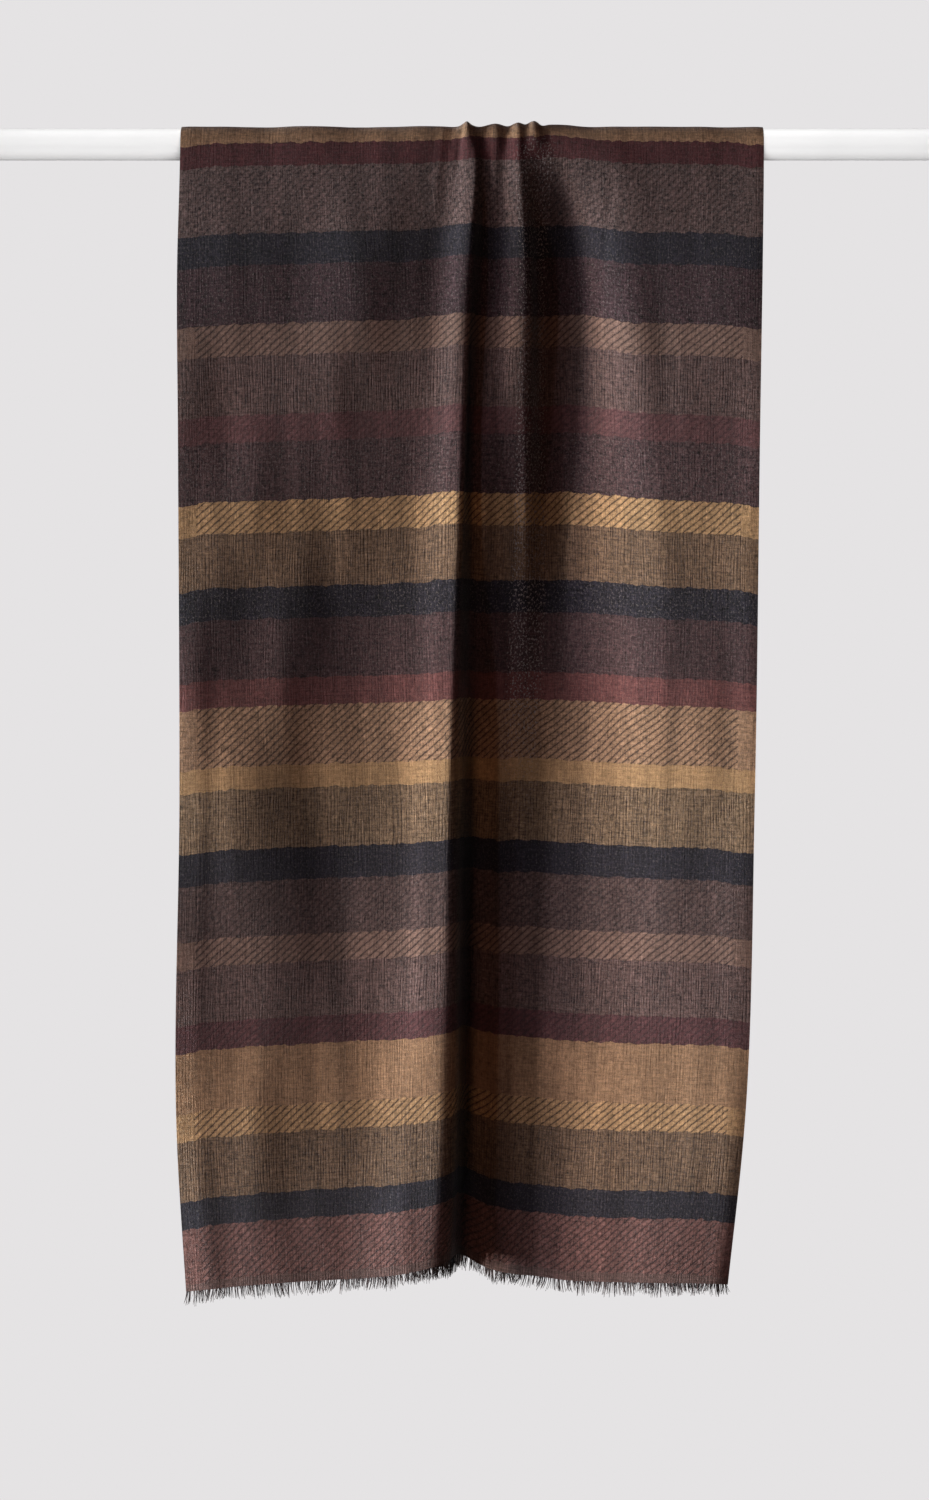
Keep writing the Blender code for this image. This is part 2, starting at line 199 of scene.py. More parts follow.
def threadAcross(length, shares):
    # one thread across the cloth: its points in space and how far along it each lies
    places = np.stack([curveThrough(foldLevels, foldAcross, length)[0],
                       curveThrough(foldLevels, foldOut, length)[0],
                       curveThrough(liftLevels, foldLift, length)[0]], axis=1)
    steps = np.hypot(np.diff(places[:, 0]), np.diff(places[:, 1])) ** 0.5
    knots = np.concatenate(([0.0], np.cumsum(steps)))
    evenSteps = np.linspace(0, knots[-1], drape["stepsOfThread"])
    fine = curveThrough(knots, places, evenSteps)
    run = np.concatenate(([0.0], np.cumsum(np.hypot(np.diff(fine[:, 0]), np.diff(fine[:, 1])))))
    at = np.asarray(shares) * knots[-1]
    across, out, lift = curveThrough(knots, places, at).T
    travelled = np.interp(at, evenSteps, run) / run[-1]
    side = 1.0 if length >= 0 else -1.0
    reached = np.maximum(abs(length) - lift, 0)
    angle = np.minimum(reached / drape["turnRadius"], math.pi / 2)
    fall = np.maximum(reached - quarterTurn, 0)
    radius = drape["turnRadius"] + out
    points = np.stack([across, -side * radius * np.sin(angle),
                       radius * np.cos(angle) - fall], axis=1)
    return points, travelled


# The muffler.
muffler = {
    "width": 510, "length": 2000, "thickness": 0.8,
    "columns": 160, "rows": 298,
    "rowsCloserAtRod": 0.6,        # 0 for even rows
    "selvedgeCurl": 0.5, "selvedgeCurlWidth": 4.0,
    "rippleHeight": 0.06, "rippleCount": 16, "rippleSeed": 5,
    "rippleAcross": (26, 110), "rippleAlong": (160, 620),    # lengths of the waves
    "sinkAllowed": 0.15,           # how far the relief may reach towards the rod
    # soft creases: side (1 front, -1 back), distance from the left at top and foot,
    # top and foot along the cloth, width, height
    "creases": {
        "leftSelvedgeRidge": (1, 18, 24, 860, 1040, 8, 0.5),
        "leftSoftRidge": (1, 140, 132, 40, 300, 13, 0.5),
        "leftSelvedgeCrease": (1, 16.0, 17.0, 300, 1040, 1.8, 0.34),
        "leftLowRidge": (1, 62, 70, 820, 1040, 15, 0.5),
        "leftLowTrough": (1, 104, 112, 860, 1040, 14, -0.4),
        "pinchAtGather": (1, 246, 240, 6, 58, 1.5, -0.9),
        "gatherLineLeft": (1, 229, 219, 10, 96, 2.2, 0.5),
        "gatherLineRight": (1, 268, 266, 20, 120, 2.4, 0.5),
        "rightCrease": (1, 379, 374, 34, 230, 3.2, -0.6),
        "rightSoftRidge": (1, 452, 446, 190, 720, 16, 0.25),
        "rightSelvedgeTrough": (1, 484, 482, 260, 1040, 9, -0.3),
        "backLeftRidge": (-1, 52, 64, 90, 760, 14, 0.7),
        "backLeftTrough": (-1, 96, 120, 300, 1040, 16, -1.0),
        "backGatherLine": (-1, 236, 228, 20, 140, 2.4, 0.8),
        "backCrease": (-1, 372, 366, 40, 260, 3.4, -0.8),
        "backRightRidge": (-1, 440, 432, 240, 820, 14, 0.6),
        "backRightTrough": (-1, 476, 482, 420, 1040, 10, -0.7),
    },
}


def softRelief(fromLeft, along):
    # low ridges and troughs that stand on the main folds, in millimetres outwards
    relief = np.zeros_like(along)
    for side, top, foot, start, end, width, height in muffler["creases"].values():
        down = along * side
        share = np.clip((down - start) / (end - start), 0, 1)
        fade = smoothStep(start - 12, start + 0.22 * (end - start), down)
        fade = fade * (1 - smoothStep(end - 0.22 * (end - start), end, down))
        offset = (fromLeft - (top + (foot - top) * share)) / width
        relief += height * fade * np.exp(-offset ** 2)
    chance = random.Random(muffler["rippleSeed"])
    for number in range(muffler["rippleCount"]):
        waveAcross = chance.uniform(*muffler["rippleAcross"])
        waveAlong = chance.uniform(*muffler["rippleAlong"]) * chance.choice((-1, 1))
        turn = chance.uniform(0, 6.28)
        height = muffler["rippleHeight"] * waveAcross / 60
        relief += height * np.sin(6.283 * (fromLeft / waveAcross + along / waveAlong) + turn)
    fromEdge = np.minimum(fromLeft, muffler["width"] - fromLeft)
    curl = muffler["selvedgeCurl"] * (0.7 + 0.3 * np.sin(along / 47) * np.sin(along / 111 + 1))
    relief -= curl * np.exp(-(fromEdge / muffler["selvedgeCurlWidth"]) ** 2)
    return relief


def outwards(points):              # normals of a grid of points, away from the rod
    alongRows = np.gradient(points, axis=0)
    alongColumns = np.gradient(points, axis=1)
    normal = np.cross(alongRows, alongColumns)
    return normal / np.maximum(np.linalg.norm(normal, axis=2, keepdims=True), 1e-9)


deselectAll()
bpy.ops.mesh.primitive_grid_add(x_subdivisions=muffler["columns"], y_subdivisions=muffler["rows"],
                                size=1, location=(0, 0, 0))
mufflerCloth = bpy.context.object
mufflerCloth.name = "mufflerCloth"
mufflerCloth.data.name = "mufflerCloth"
flat = np.zeros(len(mufflerCloth.data.vertices) * 3)
mufflerCloth.data.vertices.foreach_get("co", flat)
flat = flat.reshape(-1, 3)
# rows from the back hem on
order = np.lexsort((np.round(flat[:, 0], 6), -np.round(flat[:, 1], 6)))
columnCount = len(np.unique(np.round(flat[:, 0], 6)))
rowCount = len(flat) // columnCount

shares = np.linspace(0, 1, columnCount)
evenRows = np.linspace(-1, 1, rowCount)
closer = muffler["rowsCloserAtRod"] / (2 * math.pi)
rowLengths = muffler["length"] / 2 * (evenRows - closer * np.sin(2 * math.pi * evenRows))
threads = [threadAcross(length, shares) for length in rowLengths]
points = np.array([thread[0] for thread in threads])
travelled = np.array([thread[1] for thread in threads])

alongGrid = np.repeat(rowLengths[:, None], columnCount, axis=1)
points = points + outwards(points) * softRelief(travelled * muffler["width"], alongGrid)[..., None]
reach = np.hypot(points[..., 1], points[..., 2])
closest = drape["turnRadius"] - muffler["sinkAllowed"]
nearRod = (points[..., 2] > -3) & (reach < closest)
push = np.where(nearRod, closest / np.maximum(reach, 1), 1.0)
points[..., 1] *= push             # nothing sinks into the rod
points[..., 2] *= push
hemRow = {"front": (points[-1], travelled[-1]), "back": (points[0], travelled[0])}

placed = np.zeros_like(flat)
placed[order] = points.reshape(-1, 3) * mm
mufflerCloth.data.vertices.foreach_set("co", placed.ravel())
cut = np.zeros((len(flat), 2))     # place on the flat cloth, 0 to 1 each way
cut[order] = np.stack([travelled, alongGrid / muffler["length"] + 0.5], axis=2).reshape(-1, 2)
cutMap = mufflerCloth.data.uv_layers[0]
cutMap.name = "cut"
corners = np.zeros(len(mufflerCloth.data.loops), int)
mufflerCloth.data.loops.foreach_get("vertex_index", corners)
cutMap.data.foreach_set("uv", cut[corners].ravel())
mufflerCloth.data.update()

pick(mufflerCloth)
middleFace = mufflerCloth.data.polygons[len(mufflerCloth.data.polygons) // 4]
if middleFace.normal.y * middleFace.center.y < 0:      # faces away from the rod
    bpy.ops.object.mode_set(mode="EDIT")
    bpy.ops.mesh.select_all(action="SELECT")
    bpy.ops.mesh.flip_normals()
    bpy.ops.object.mode_set(mode="OBJECT")
wall = mufflerCloth.modifiers.new("clothWall", "SOLIDIFY")
wall.thickness = muffler["thickness"] * mm
wall.offset = 0
wall.use_even_offset = True
bpy.ops.object.modifier_apply(modifier=wall.name)
bpy.ops.object.shade_smooth_by_angle(angle=math.radians(60))
print("cloth draped,", len(mufflerCloth.data.polygons), "faces")


# The eyelash fringe.
fringe = {
    "locks": 62, "threadsInLock": (9, 14), "lockSpread": 8.4,
    "length": (8.0, 13.0), "thick": (0.26, 0.44), "tipShare": 0.45,
    "lean": 1.6, "stray": 240, "strayLength": (4.0, 10.0), "strayThick": (0.16, 0.26),
    "rootInCloth": 1.6, "seed": 21,
}


def rootAt(side, share):           # a place on the hem, and the direction along it
    row, run = hemRow[side]
    at = np.array([np.interp(share, run, row[:, axis]) for axis in range(3)])
    near = np.array([np.interp(min(share + 0.004, 1), run, row[:, axis]) for axis in range(3)])
    step = near - at
    return at, step / max(np.linalg.norm(step), 1e-6)


def addEnd(curve, root, way, length, lean, bow, thick):
    # one loose warp end: straight out of the hem, then leaning and bowed a little
    spline = curve.splines.new("POLY")
    spline.points.add(4)
    for number, point in enumerate(spline.points):
        share = number / 4
        down = -fringe["rootInCloth"] + share * (length + fringe["rootInCloth"])
        aside = lean * share ** 1.6 + bow * math.sin(math.pi * share)
        place = root + way * aside + np.array([0, bow * 0.6 * share, -down])
        point.co = (*(place * mm), 1)
        point.radius = thick * (1 - (1 - fringe["tipShare"]) * share ** 1.5)


def makeFringe(name, side, seed):
    chance = random.Random(seed)
    curve = bpy.data.curves.new(name, "CURVE")
    curve.dimensions = "3D"
    curve.bevel_depth = mm
    curve.bevel_resolution = 1
    curve.use_fill_caps = True
    for lock in range(fringe["locks"]):
        middle = (lock + 0.5 + chance.uniform(-0.16, 0.16)) / fringe["locks"]
        lockLength = chance.uniform(*fringe["length"])
        lockLean = chance.gauss(0, 1) * fringe["lean"]
        count = chance.randint(*fringe["threadsInLock"])
        for number in range(count):
            spread = (number + 0.5) / count - 0.5 + chance.uniform(-0.12, 0.12)
            share = middle + spread * fringe["lockSpread"] / muffler["width"]
            share = min(max(share, 0.001), 0.999)
            root, way = rootAt(side, share)
            addEnd(curve, root, way, lockLength * chance.uniform(0.72, 1.05),
                   lockLean + spread * 2.2 + chance.gauss(0, 0.5), chance.gauss(0, 0.35),
                   chance.uniform(*fringe["thick"]))
    for number in range(fringe["stray"]):
        root, way = rootAt(side, chance.uniform(0.002, 0.998))
        addEnd(curve, root, way, chance.uniform(*fringe["strayLength"]), chance.gauss(0, 2.2),
               chance.gauss(0, 0.7), chance.uniform(*fringe["strayThick"]))
    piece = bpy.data.objects.new(name, curve)
    bpy.context.scene.collection.objects.link(piece)
    pick(piece)
    bpy.ops.object.convert(target="MESH")
    piece = bpy.context.object
    piece.name = name
    bpy.ops.object.shade_smooth_by_angle(angle=math.radians(50))
    return piece


frontFringe = makeFringe("frontFringe", "front", fringe["seed"])
backFringe = makeFringe("backFringe", "back", fringe["seed"] + 1)
print("fringe grown,", len(frontFringe.data.polygons), "faces at the front")


# Materials.
def newMaterial(name):
    material = bpy.data.materials.new(name)
    material.use_nodes = True
    return material, material.node_tree, material.node_tree.nodes["Principled BSDF"]


def putNode(tree, kind, **settings):
    node = tree.nodes.new(kind)
    for name, value in settings.items():
        setattr(node, name, value)
    return node


def feed(tree, socket, value):
    if isinstance(value, bpy.types.NodeSocket):
        tree.links.new(value, socket)
    else:
        socket.default_value = value


def calc(tree, operation, first, second=None, third=None, clamp=False):
    node = putNode(tree, "ShaderNodeMath", operation=operation, use_clamp=clamp)
    for place, value in enumerate((first, second, third)):
        if value is not None:
            feed(tree, node.inputs[place], value)
    return node.outputs[0]


def remap(tree, value, fromLow, fromHigh, toLow=0.0, toHigh=1.0, smooth=False):
    node = putNode(tree, "ShaderNodeMapRange", clamp=True)
    if smooth:
        node.interpolation_type = "SMOOTHSTEP"
    for name, number in (("Value", value), ("From Min", fromLow), ("From Max", fromHigh),
                         ("To Min", toLow), ("To Max", toHigh)):
        feed(tree, node.inputs[name], number)
    return node.outputs[0]


def blendColour(tree, share, first, second, way="MIX"):
    node = putNode(tree, "ShaderNodeMix", data_type="RGBA", blend_type=way)
    feed(tree, node.inputs[0], share)
    feed(tree, node.inputs[6], first)
    feed(tree, node.inputs[7], second)
    return node.outputs[2]


def noiseAt(tree, vector, scaleX, scaleY, detail=2.0, rough=0.5):
    stretch = putNode(tree, "ShaderNodeMapping")
    stretch.inputs["Scale"].default_value = (scaleX, scaleY, 1)
    feed(tree, stretch.inputs["Vector"], vector)
    noise = putNode(tree, "ShaderNodeTexNoise", noise_dimensions="2D")
    noise.inputs["Scale"].default_value = 1
    noise.inputs["Detail"].default_value = detail
    noise.inputs["Roughness"].default_value = rough
    tree.links.new(stretch.outputs[0], noise.inputs["Vector"])
    return noise.outputs["Fac"]


def addBump(tree, shader, height, distance, strength=1.0):
    bump = putNode(tree, "ShaderNodeBump")
    bump.inputs["Strength"].default_value = strength
    bump.inputs["Distance"].default_value = distance
    tree.links.new(height, bump.inputs["Height"])
    tree.links.new(bump.outputs[0], shader.inputs["Normal"])


def srgb(red, green, blue):
    parts = [value / 255 for value in (red, green, blue)]
    return tuple(part / 12.92 if part <= 0.04045 else ((part + 0.055) / 1.055) ** 2.4
                 for part in parts) + (1.0,)


# Uneven spun yarn: scale across and along for each millimetre, detail, roughness, range kept.
yarnUnevenness = {
    "Warp streaks": (0.62, 0.03, 2, 0.6, 0.36, 0.66),
    "Weft streaks": (0.035, 0.5, 2, 0.6, 0.36, 0.66),
    "Clouds": (0.045, 0.02, 3, 0.55, 0.3, 0.7),
    "Fibres": (1.6, 1.6, 3, 0.65, 0, 1),
}


def yarnFibreGroup():              # takes a place in millimetres
    group = bpy.data.node_groups.new("yarnFibre", "ShaderNodeTree")
    group.interface.new_socket(name="Place", in_out="INPUT", socket_type="NodeSocketVector")
    for name in yarnUnevenness:
        group.interface.new_socket(name=name, in_out="OUTPUT", socket_type="NodeSocketFloat")
    start = putNode(group, "NodeGroupInput")
    end = putNode(group, "NodeGroupOutput")
    for name, (scaleX, scaleY, detail, rough, low, high) in yarnUnevenness.items():
        streaks = noiseAt(group, start.outputs["Place"], scaleX, scaleY, detail, rough)
        feed(group, end.inputs[name], remap(group, streaks, low, high))
    return group


yarnFibre = yarnFibreGroup()

# Yarns of the weft, and the dark warp that shows through them.
yarns = {
    "gold": (162, 128, 91), "paleGold": (173, 138, 98), "camel": (148, 115, 86),
    "tan": (153, 121, 94), "pinkTan": (120, 95, 83), "taupe": (96, 75, 70),
    "olive": (124, 99, 76), "paleOlive": (130, 107, 82), "darkOlive": (114, 91, 70),
    "rose": (106, 74, 68), "hemRose": (104, 80, 74), "wine": (107, 66, 63),
    "maroon": (93, 61, 61), "deepMaroon": (83, 51, 52), "darkMaroon": (79, 41, 42),
    "plum": (61, 43, 46), "plumBrown": (74, 54, 54), "ashPlum": (91, 73, 69),
    "greyPlum": (84, 66, 62), "navy": (35, 33, 41),
}
# Stripes from the crown of the rod to a hem: width in mm, yarn, twill lines, warp showing, flecks.
stripes = [
    (20.6, "camel", 0.0, 0.5, 0.3), (22.0, "darkMaroon", 0.1, 0.4, 0.3),
    (56.3, "ashPlum", 0.7, 0.7, 0.8), (26.5, "navy", 0.0, 0.3, 0.6),
    (52.1, "plum", 0.3, 0.5, 0.8), (26.9, "pinkTan", 0.95, 0.3, 0.3),
    (49.9, "taupe", 0.1, 1.0, 0.6), (25.7, "maroon", 0.5, 0.4, 0.3),
    (49.5, "plumBrown", 0.3, 0.5, 0.8), (26.2, "paleGold", 1.0, 0.3, 0.3),
    (49.1, "olive", 0.0, 1.0, 0.5), (27.3, "navy", 0.0, 0.25, 0.9),
    (51.6, "plumBrown", 0.2, 0.6, 0.6), (21.4, "wine", 0.1, 0.4, 0.3),
    (49.9, "tan", 1.0, 0.3, 0.4), (22.7, "paleGold", 0.0, 0.25, 0.1),
    (50.8, "paleOlive", 0.0, 1.0, 0.5), (24.8, "navy", 0.0, 0.3, 0.5),
    (48.3, "greyPlum", 0.75, 0.6, 0.6), (23.5, "pinkTan", 1.0, 0.3, 0.3),
    (47.8, "taupe", 0.0, 0.9, 0.6), (23.6, "deepMaroon", 0.6, 0.4, 0.3),
    (49.5, "camel", 0.0, 0.4, 0.2), (24.0, "gold", 1.0, 0.3, 0.3),
    (48.2, "darkOlive", 0.0, 1.0, 0.5), (26.5, "navy", 0.0, 0.3, 0.5),
    (46.3, "rose", 0.95, 0.3, 0.6), (9.0, "hemRose", 0.0, 0.8, 0.3),
]
weave = {
    "twillPitch": 7.1, "twillRise": 1.1, "twillLine": 0.16, "twillDark": 0.86, "twillDrift": 7.0,
    "threadPitch": 1.0, "endPitch": 2.3, "pickPitch": 2.6,   # threads, darker ends, darker picks
    "endDark": 0.5, "pickDark": 0.26, "streakDark": 0.16, "cloudWidth": 16, "cloudDepth": 0.18,
    "selvedge": 15.0, "selvedgeDip": 2.5, "wobble": 2.6, "warpColour": (42, 29, 30),
    # grit, stretched along the warp and the weft in turn, and stronger in the flecked stripes
    "gritScale": (0.45, 0.15), "gritDetail": (3, 0.85), "gritLeast": 0.8, "gritMore": 2.8,
    "fleckColour": (150, 140, 136), "fuzzShare": 0.36, "fleckScale": (0.6, 0.45),
    "fleckRange": (0.56, 0.68),
    # pale specks painted into the shaded valley, as painted light caught by its fibres: how strong,
    # where they start and end across and down the front
    "valleyPaintedLight": 1.6, "valleyAcross": (292, 300, 320, 330), "valleyDown": (20, 40, 420, 640),
    # how far each unevenness darkens and lightens the yarn; the rib tone is a painted highlight on
    # the twill ribs
    "cloudTone": (0.93, 1.07), "fibreTone": (0.74, 1.26), "weftTone": (0.94, 1.06),
    "ribHighlightTone": (0.96, 1.14),
    "roughness": (0.78, 0.92), "specular": 0.25, "bump": 0.00022,
    "sheen": 0.25, "sheenRoughness": 0.45, "sheenTint": (0.9, 0.87, 0.86, 1),
    "relief": {"crossing": 0.25, "line": -0.9, "ends": -0.5, "streaks": 0.4, "fibres": 0.8},
}


def stripeRamp(tree, along, colours):
    node = putNode(tree, "ShaderNodeValToRGB")
    ramp = node.color_ramp
    ramp.interpolation = "CONSTANT"
    start = 0.0
    for number, (stripe, colour) in enumerate(zip(stripes, colours)):
        if number < 2:
            element = ramp.elements[number]
            element.position = start / 1000
        else:
            element = ramp.elements.new(start / 1000)
        element.color = colour
        start += stripe[0]
    tree.links.new(along, node.inputs[0])
    return node.outputs[0]


def wovenCloth():
    material, tree, shader = newMaterial("wovenStripes")
    cutPlace = putNode(tree, "ShaderNodeUVMap", uv_map="cut")
    parts = putNode(tree, "ShaderNodeSeparateXYZ")
    tree.links.new(cutPlace.outputs[0], parts.inputs[0])
    across = calc(tree, "MULTIPLY", parts.outputs[0], muffler["width"])
    along = calc(tree, "MULTIPLY_ADD", parts.outputs[1], muffler["length"], -muffler["length"] / 2)
    joined = putNode(tree, "ShaderNodeCombineXYZ")
    tree.links.new(across, joined.inputs[0])
    tree.links.new(along, joined.inputs[1])
    place = joined.outputs[0]                  # millimetres on the flat cloth
    fibre = putNode(tree, "ShaderNodeGroup", node_tree=yarnFibre)
    tree.links.new(place, fibre.inputs[0])
    warpStreaks, weftStreaks, clouds, fibres = fibre.outputs[:4]

    # the selvedges are plain, and pull the stripes down a little
    fromEdge = calc(tree, "MINIMUM", across, calc(tree, "SUBTRACT", muffler["width"], across))
    body = remap(tree, fromEdge, weave["selvedge"] - 0.6, weave["selvedge"] + 0.6)
    dip = remap(tree, fromEdge, 0, weave["selvedge"] * 2.2, weave["selvedgeDip"], 0, smooth=True)
    wobble = calc(tree, "SUBTRACT", noiseAt(tree, place, 0.11, 0.004, 3, 0.6), 0.5)
    down = calc(tree, "ABSOLUTE", along)
    down = calc(tree, "SUBTRACT", down, dip)
    down = calc(tree, "MULTIPLY_ADD", wobble, weave["wobble"] * 2, down)
    down = calc(tree, "DIVIDE", down, 1000)
    weftColour = stripeRamp(tree, down, [srgb(*yarns[s[1]]) for s in stripes])
    kind = putNode(tree, "ShaderNodeSeparateColor")
    tree.links.new(stripeRamp(tree, down, [(s[2], s[3], s[4], 1) for s in stripes]), kind.inputs[0])
    twillHere, warpHere, fleckHere = kind.outputs[:3]

    # twill: dark diagonals that climb to the right in steps of one thread, pale ribs between them
    # with a painted highlight
    stepped = calc(tree, "SNAP", across, weave["threadPitch"])
    climb = calc(tree, "MULTIPLY_ADD", along, weave["twillRise"], stepped)
    drift = calc(tree, "SUBTRACT", noiseAt(tree, place, 0.022, 0.012, 2, 0.5), 0.5)
    climb = calc(tree, "MULTIPLY_ADD", drift, weave["twillDrift"], climb)
    fromLine = calc(tree, "FRACT", calc(tree, "DIVIDE", climb, weave["twillPitch"]))
    fromLine = calc(tree, "ABSOLUTE", calc(tree, "SUBTRACT", fromLine, 0.5))
    uneven = remap(tree, noiseAt(tree, place, 0.5, 0.5, 2, 0.6), 0.34, 0.66, 0.55, 1.25)
    lineEdge = calc(tree, "MULTIPLY", uneven, weave["twillLine"])
    line = remap(tree, fromLine, lineEdge, calc(tree, "MULTIPLY", lineEdge, 0.35), smooth=True)
    twillBody = calc(tree, "MULTIPLY", twillHere, body)
    line = calc(tree, "MULTIPLY", line, twillBody)
    ribHighlight = calc(tree, "MULTIPLY", remap(tree, fromLine, 0.18, 0.42, smooth=True), twillBody)

    # plain weave: darker warp ends and weft picks at a small pitch, uneven from place to place
    fullTurn = 2 * math.pi
    endWave = calc(tree, "DIVIDE", across, weave["endPitch"])
    endWave = calc(tree, "MULTIPLY_ADD", noiseAt(tree, place, 0.05, 0.01, 1, 0.5), 3.0, endWave)
    ends = remap(tree, calc(tree, "SINE", calc(tree, "MULTIPLY", endWave, fullTurn)), -0.35, 0.9)
    endShare = remap(tree, noiseAt(tree, place, 0.3, 0.06, 2, 0.6), 0.34, 0.62, 0.15, 1.0)
    ends = calc(tree, "MULTIPLY", ends, endShare)
    pickWave = calc(tree, "DIVIDE", along, weave["pickPitch"])
    pickWave = calc(tree, "MULTIPLY_ADD", noiseAt(tree, place, 0.01, 0.05, 1, 0.5), 3.0, pickWave)
    picks = remap(tree, calc(tree, "SINE", calc(tree, "MULTIPLY", pickWave, fullTurn)), -0.2, 1.0)
    pickShare = remap(tree, noiseAt(tree, place, 0.04, 0.3, 2, 0.6), 0.36, 0.64)
    picks = calc(tree, "MULTIPLY", picks, pickShare)
    warpThread = calc(tree, "SINE", calc(tree, "MULTIPLY", across, fullTurn / weave["threadPitch"]))
    weftThread = calc(tree, "SINE", calc(tree, "MULTIPLY", along, fullTurn / weave["threadPitch"]))
    crossing = calc(tree, "MULTIPLY", warpThread, weftThread)
    shown = calc(tree, "MULTIPLY", ends, weave["endDark"])
    shown = calc(tree, "MULTIPLY_ADD", picks, weave["pickDark"], shown)
    shown = calc(tree, "MULTIPLY_ADD", warpStreaks, weave["streakDark"], shown)
    shown = calc(tree, "MULTIPLY", shown, warpHere)
    shown = calc(tree, "MULTIPLY", shown, remap(tree, body, 0, 1, 0.4, 1.0))   # less at selvedges
    lineDark = calc(tree, "MULTIPLY", line, weave["twillDark"])
    dark = calc(tree, "MAXIMUM", shown, lineDark, clamp=True)

    # yarn colour, its unevenness and grit, then pale flecks, and pale specks painted in the shaded
    # valley as painted light
    colour = blendColour(tree, dark, weftColour, srgb(*weave["warpColour"]))
    bands = noiseAt(tree, place, 1 / weave["cloudWidth"], 0.006, 2, 0.6)
    tone = remap(tree, bands, 0.3, 0.7, 1 - weave["cloudDepth"], 1 + weave["cloudDepth"])
    tone = calc(tree, "MULTIPLY", tone, remap(tree, clouds, 0, 1, *weave["cloudTone"]))
    tone = calc(tree, "MULTIPLY", tone, remap(tree, fibres, 0.3, 0.7, *weave["fibreTone"]))
    tone = calc(tree, "MULTIPLY", tone, remap(tree, weftStreaks, 0, 1, *weave["weftTone"]))
    # painted highlight: the twill ribs are lightened between the dark lines
    tone = calc(tree, "MULTIPLY", tone, remap(tree, ribHighlight, 0, 1, *weave["ribHighlightTone"]))
    grit = calc(tree, "ADD", noiseAt(tree, place, *weave["gritScale"], *weave["gritDetail"]),
                noiseAt(tree, place, *weave["gritScale"][::-1], *weave["gritDetail"]))
    grit = calc(tree, "SUBTRACT", grit, 1.0)
    gritty = calc(tree, "MULTIPLY_ADD", fleckHere, weave["gritMore"], weave["gritLeast"])
    tone = calc(tree, "MULTIPLY", tone, calc(tree, "MULTIPLY_ADD", grit, gritty, 1.0))
    toneColour = putNode(tree, "ShaderNodeCombineColor")
    for socket in toneColour.inputs:
        tree.links.new(tone, socket)
    colour = blendColour(tree, 1.0, colour, toneColour.outputs[0], "MULTIPLY")
    fleck = remap(tree, noiseAt(tree, place, *weave["fleckScale"], 3, 0.7), *weave["fleckRange"])
    # painted light: more pale specks across the shaded valley down the front, as if its fibres
    # caught the lamps
    leftEnd, leftFull, rightFull, rightEnd = weave["valleyAcross"]
    topEnd, topFull, footFull, footEnd = weave["valleyDown"]
    paintedValleyLight = remap(tree, along, topEnd, topFull, 0, weave["valleyPaintedLight"])
    paintedValleyLight = calc(tree, "MULTIPLY", paintedValleyLight, remap(tree, along, footEnd, footFull, smooth=True))
    paintedValleyLight = calc(tree, "MULTIPLY", paintedValleyLight, remap(tree, across, leftEnd, leftFull, smooth=True))
    paintedValleyLight = calc(tree, "MULTIPLY", paintedValleyLight, remap(tree, across, rightEnd, rightFull, smooth=True))
    fleckAndPaintedLightShare = calc(tree, "MULTIPLY_ADD", fleckHere, weave["fuzzShare"], paintedValleyLight)
    fleck = calc(tree, "MULTIPLY", fleck, fleckAndPaintedLightShare)
    colour = blendColour(tree, fleck, colour, srgb(*weave["fleckColour"]))
    tree.links.new(colour, shader.inputs["Base Color"])

    rough = remap(tree, fibres, 0.3, 0.7, *weave["roughness"])
    tree.links.new(rough, shader.inputs["Roughness"])
    relief = weave["relief"]
    height = calc(tree, "MULTIPLY", crossing, relief["crossing"])
    height = calc(tree, "MULTIPLY_ADD", line, relief["line"], height)
    endRelief = calc(tree, "MULTIPLY", warpHere, relief["ends"])
    height = calc(tree, "MULTIPLY_ADD", ends, endRelief, height)
    height = calc(tree, "MULTIPLY_ADD", warpStreaks, relief["streaks"], height)
    height = calc(tree, "MULTIPLY_ADD", weftStreaks, relief["streaks"], height)
    height = calc(tree, "MULTIPLY_ADD", fibres, relief["fibres"], height)
    addBump(tree, shader, height, weave["bump"])
    shader.inputs["Sheen Weight"].default_value = weave["sheen"]
    shader.inputs["Sheen Roughness"].default_value = weave["sheenRoughness"]
    shader.inputs["Sheen Tint"].default_value = weave["sheenTint"]
    shader.inputs["Specular IOR Level"].default_value = weave["specular"]
    return material


looseEndSet = {
    "dark": (32, 27, 28), "mid": (74, 62, 61), "pale": (118, 104, 100), "paleShare": 0.4,
    "roughness": (0.8, 0.95), "bump": 0.0001, "sheen": 0.3, "specular": 0.25,
}


